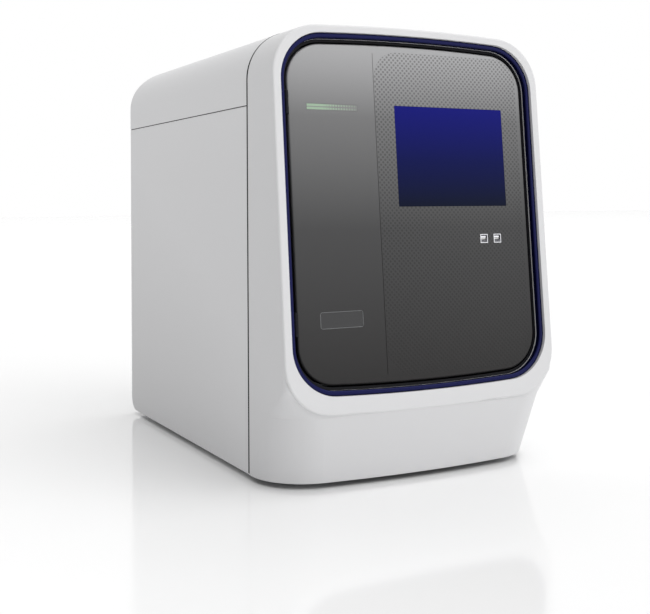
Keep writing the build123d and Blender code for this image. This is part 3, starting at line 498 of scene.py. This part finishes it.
def buildShadowSeal(spec):
    # a plate with rounded, crowned shoulders, cut back to a thin band round its outline
    form = bmesh.new()
    halfWide = cadHigh.x + spec["proud"]
    edge = halfWide - 0.001
    bmesh.ops.create_grid(form, x_segments=spec["crownSteps"], y_segments=1, size=0.5)
    height = spec["shoulder"] + spec["proud"] - spec["foot"]
    bmesh.ops.scale(form, vec=(halfWide * 2, height, 1), verts=form.verts)
    bmesh.ops.translate(form, vec=(0, spec["foot"] + height / 2, 0), verts=form.verts)
    top = max(vert.co.y for vert in form.verts)
    topRow = [vert for vert in form.verts if vert.co.y > top - 0.001]
    corners = [vert for vert in topRow if abs(vert.co.x) > edge]
    steps = spec["crownSteps"]
    squeeze = (halfWide - spec["cornerReach"]) / (halfWide * (steps - 2) / steps)
    for vert in form.verts:
        if abs(vert.co.x) < edge:
            vert.co.x *= squeeze  # the outermost points meet the round corners
    for vert in topRow:
        if vert not in corners:
            share = abs(vert.co.x) / halfWide
            vert.co.y += (spec["crown"] - spec["shoulder"]) * (1 - share * share)
    bmesh.ops.dissolve_faces(form, faces=form.faces[:])
    roundCorners(form, corners, spec["cornerReach"], spec["cornerSteps"])
    cutBand(form, spec["depth"], spec["width"])
    middle = spec["plane"] + spec["width"] / 2
    stand = Matrix.Translation((0, middle, 0)) @ Matrix.Rotation(math.radians(90), 4, "X")
    bmesh.ops.transform(form, matrix=stand, verts=form.verts)
    length = spec["rear"] - spec["plane"]
    across = cadHigh.x - spec["sideInset"] - spec["depth"] / 2
    for side in (-1, 1):
        place = Matrix.Translation((side * across, spec["plane"] + length / 2, spec["sideHeight"]))
        addBlock(form, (spec["depth"], length, spec["sideWidth"]), place)
    return form


# painted shadow: a black strip along the seams
addPiece("seamShadowSeal", buildShadowSeal(seamShadowSeal), "rubber_black", "cabinet")

portTongue = {  # the light tongue inside each front port
    "places": (0.116, 0.140),
    "rise": -0.0410,
    "depth": 0.0165,
    "size": (0.0085, 0.0022, 0.006),
    "bevel": 0.0002,
}


def buildTongues(spec, matrices):
    form = bmesh.new()
    for matrix in matrices:
        addBlock(form, spec["size"], matrix, spec["bevel"])
    return form


portMatrices = [faceMatrix(x, portTongue["rise"], portTongue["depth"]) for x in portTongue["places"]]
addPiece("portTongues", buildTongues(portTongue, portMatrices), "holder_white", "door")

badgeEdge = {  # thin lighter border round the bare plate on the door
    "band": 0.0007,
    "lift": 0.0003,
    "thick": 0.0005,
    "round": 0.003,
    "roundSteps": 5,
}


def buildBadgeEdge(spec):
    low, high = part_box("badge_plate")
    rise = (high.z - low.z) / 2 / math.cos(faceTilt)
    turn = Matrix.Rotation(math.radians(90) - faceTilt, 4, "X")
    front = (high.y - low.y) / 2 - rise * math.sin(faceTilt)
    lift = max(0.0, front) + spec["lift"]
    place = Matrix.Translation((low + high) / 2) @ turn @ Matrix.Translation((0, 0, lift))
    form = bmesh.new()
    bmesh.ops.create_grid(form, x_segments=1, y_segments=1, size=1.0)
    bmesh.ops.scale(form, vec=((high.x - low.x) / 2, rise, 1), verts=form.verts)
    roundCorners(form, form.verts[:], spec["round"], spec["roundSteps"])
    cutBand(form, spec["band"], -spec["thick"])
    bmesh.ops.transform(form, matrix=place, verts=form.verts)
    return form


addPiece("badgeEdge", buildBadgeEdge(badgeEdge), "bulkhead_grey", "door")

screwRecessShade = {  # black crosses on the heads of the rear screws, standing in for the shade inside their cross recesses
    "across": 0.199,
    "lowest": 0.028,
    "highest": 0.509,
    "rows": 4,
    "face": 0.3385,
    "length": 0.0042,
    "width": 0.0009,
    "thick": 0.0003,
    "proud": 0.00004,
    "bevel": 0.00008,
    "turnByRow": 37,  # degrees, so that no two screws stand alike
    "turnBySide": 20,
}


def buildRecessShades(spec):
    form = bmesh.new()
    depth = spec["face"] + spec["proud"] - spec["thick"] / 2
    step = (spec["highest"] - spec["lowest"]) / (spec["rows"] - 1)
    for side in (-1, 1):
        for row in range(spec["rows"]):
            place = rearMatrix(side * spec["across"], depth, spec["lowest"] + row * step)
            turn = math.radians(spec["turnByRow"] * row + spec["turnBySide"] * side)
            turned = place @ Matrix.Rotation(turn, 4, "Z")
            for quarter in (0, 90):
                arm = turned @ Matrix.Rotation(math.radians(quarter), 4, "Z")
                addBlock(form, (spec["length"], spec["width"], spec["thick"]), arm, spec["bevel"])
    return form


# painted shade: black crosses for the screw recesses
addPiece("screwRecessShades", buildRecessShades(screwRecessShade), "rubber_black", "cabinet")

dataTongue = {  # contact tongue inside each rear data socket
    "places": (0.027, 0.053),
    "height": 0.0625,
    "depth": 0.3315,
    "size": (0.0092, 0.0022, 0.008),
    "bevel": 0.0002,
}
dataMatrices = [rearMatrix(x, dataTongue["depth"], dataTongue["height"]) for x in dataTongue["places"]]
addPiece("dataTongues", buildTongues(dataTongue, dataMatrices), "holder_white", "cabinet")
print("detail pieces made")

# Camera, floor, lamps and world

cameraSetup = {  # stands level, and its shift takes in the object's foot
    "place": (-0.8146, -1.5954, 0.3919),
    "yaw": 27.39,
    "roll": -0.3,
    "lens": 58.89,
    "sensor": 36.0,
    "shiftY": -0.1617,
}


def makeCamera(spec):
    data = bpy.data.cameras.new("mainCamera")
    data.lens = spec["lens"]
    data.sensor_width = spec["sensor"]
    data.shift_y = spec["shiftY"]
    camera = bpy.data.objects.new("mainCamera", data)
    camera.location = spec["place"]
    heading = Matrix.Rotation(math.radians(-spec["yaw"]), 4, "Z")
    level = Matrix.Rotation(math.radians(90), 4, "X")
    roll = Matrix.Rotation(math.radians(spec["roll"]), 4, "Z")
    camera.rotation_euler = (heading @ level @ roll).to_euler()
    bpy.context.scene.collection.objects.link(camera)
    bpy.context.scene.camera = camera
    return camera


floorSetup = {
    "size": 60.0,
    "colour": rgb(0.97, 0.97, 0.97),
    "roughness": 0.09,
    "shine": 0.35,
}


def makeFloor(spec):
    form = bmesh.new()
    bmesh.ops.create_grid(form, x_segments=1, y_segments=1, size=spec["size"] / 2)
    mesh = bpy.data.meshes.new("floor")
    form.to_mesh(mesh)
    form.free()
    floor = bpy.data.objects.new("floor", mesh)
    bpy.context.scene.collection.objects.link(floor)
    made = Finish("floorWhite", **{"Specular IOR Level": spec["shine"]})
    cloud = made.noise(made.objectPoint(), 0.7)
    made.feed("Base Color", made.mix(cloud, shade(spec["colour"], 0.995), shade(spec["colour"], 1.005)))
    made.feed("Roughness", cloud * 0.02 + spec["roughness"])
    mesh.materials.append(made.material)
    return floor


lampSetup = {  # soft suns: where the light comes from, how wide, how strong
    "sunTop": {"towards": (0.20, -0.15, 0.95), "angle": 80, "strength": 1.75},
    "sunFront": {"towards": (0.55, -0.80, 0.30), "angle": 60, "strength": 0.88},
}


def makeLamps(setup):
    made = []
    for name, spec in setup.items():
        data = bpy.data.lights.new(name, "SUN")
        data.energy = spec["strength"]
        data.angle = math.radians(spec["angle"])
        lamp = bpy.data.objects.new(name, data)
        lamp.rotation_euler = Vector(spec["towards"]).to_track_quat("Z", "Y").to_euler()
        bpy.context.scene.collection.objects.link(lamp)
        made.append(lamp)
    return made


worldSetup = {
    "seen": 1.0,  # white, as the camera and reflections see it
    "light": 0.42,  # what it gives the object
}


def makeWorld(spec):
    world = bpy.data.worlds.new("studio")
    bpy.context.scene.world = world
    world.use_nodes = True
    tree = world.node_tree
    background = tree.nodes["Background"]
    background.inputs["Color"].default_value = rgb(1, 1, 1)
    path = tree.nodes.new("ShaderNodeLightPath")
    names = ("Is Camera Ray", "Is Glossy Ray", "Is Transmission Ray")
    direct, glossy, through = [Sock(tree, path.outputs[name]) for name in names]
    seen = direct.math("MAXIMUM", glossy).math("MAXIMUM", through)
    strength = seen * (spec["seen"] - spec["light"]) + spec["light"]
    tree.links.new(strength.socket, background.inputs["Strength"])


camera = makeCamera(cameraSetup)
floor = makeFloor(floorSetup)
lamps = makeLamps(lampSetup)
makeWorld(worldSetup)
bpy.context.scene.view_settings.view_transform = "Standard"
print("camera, floor, lamps and world made")
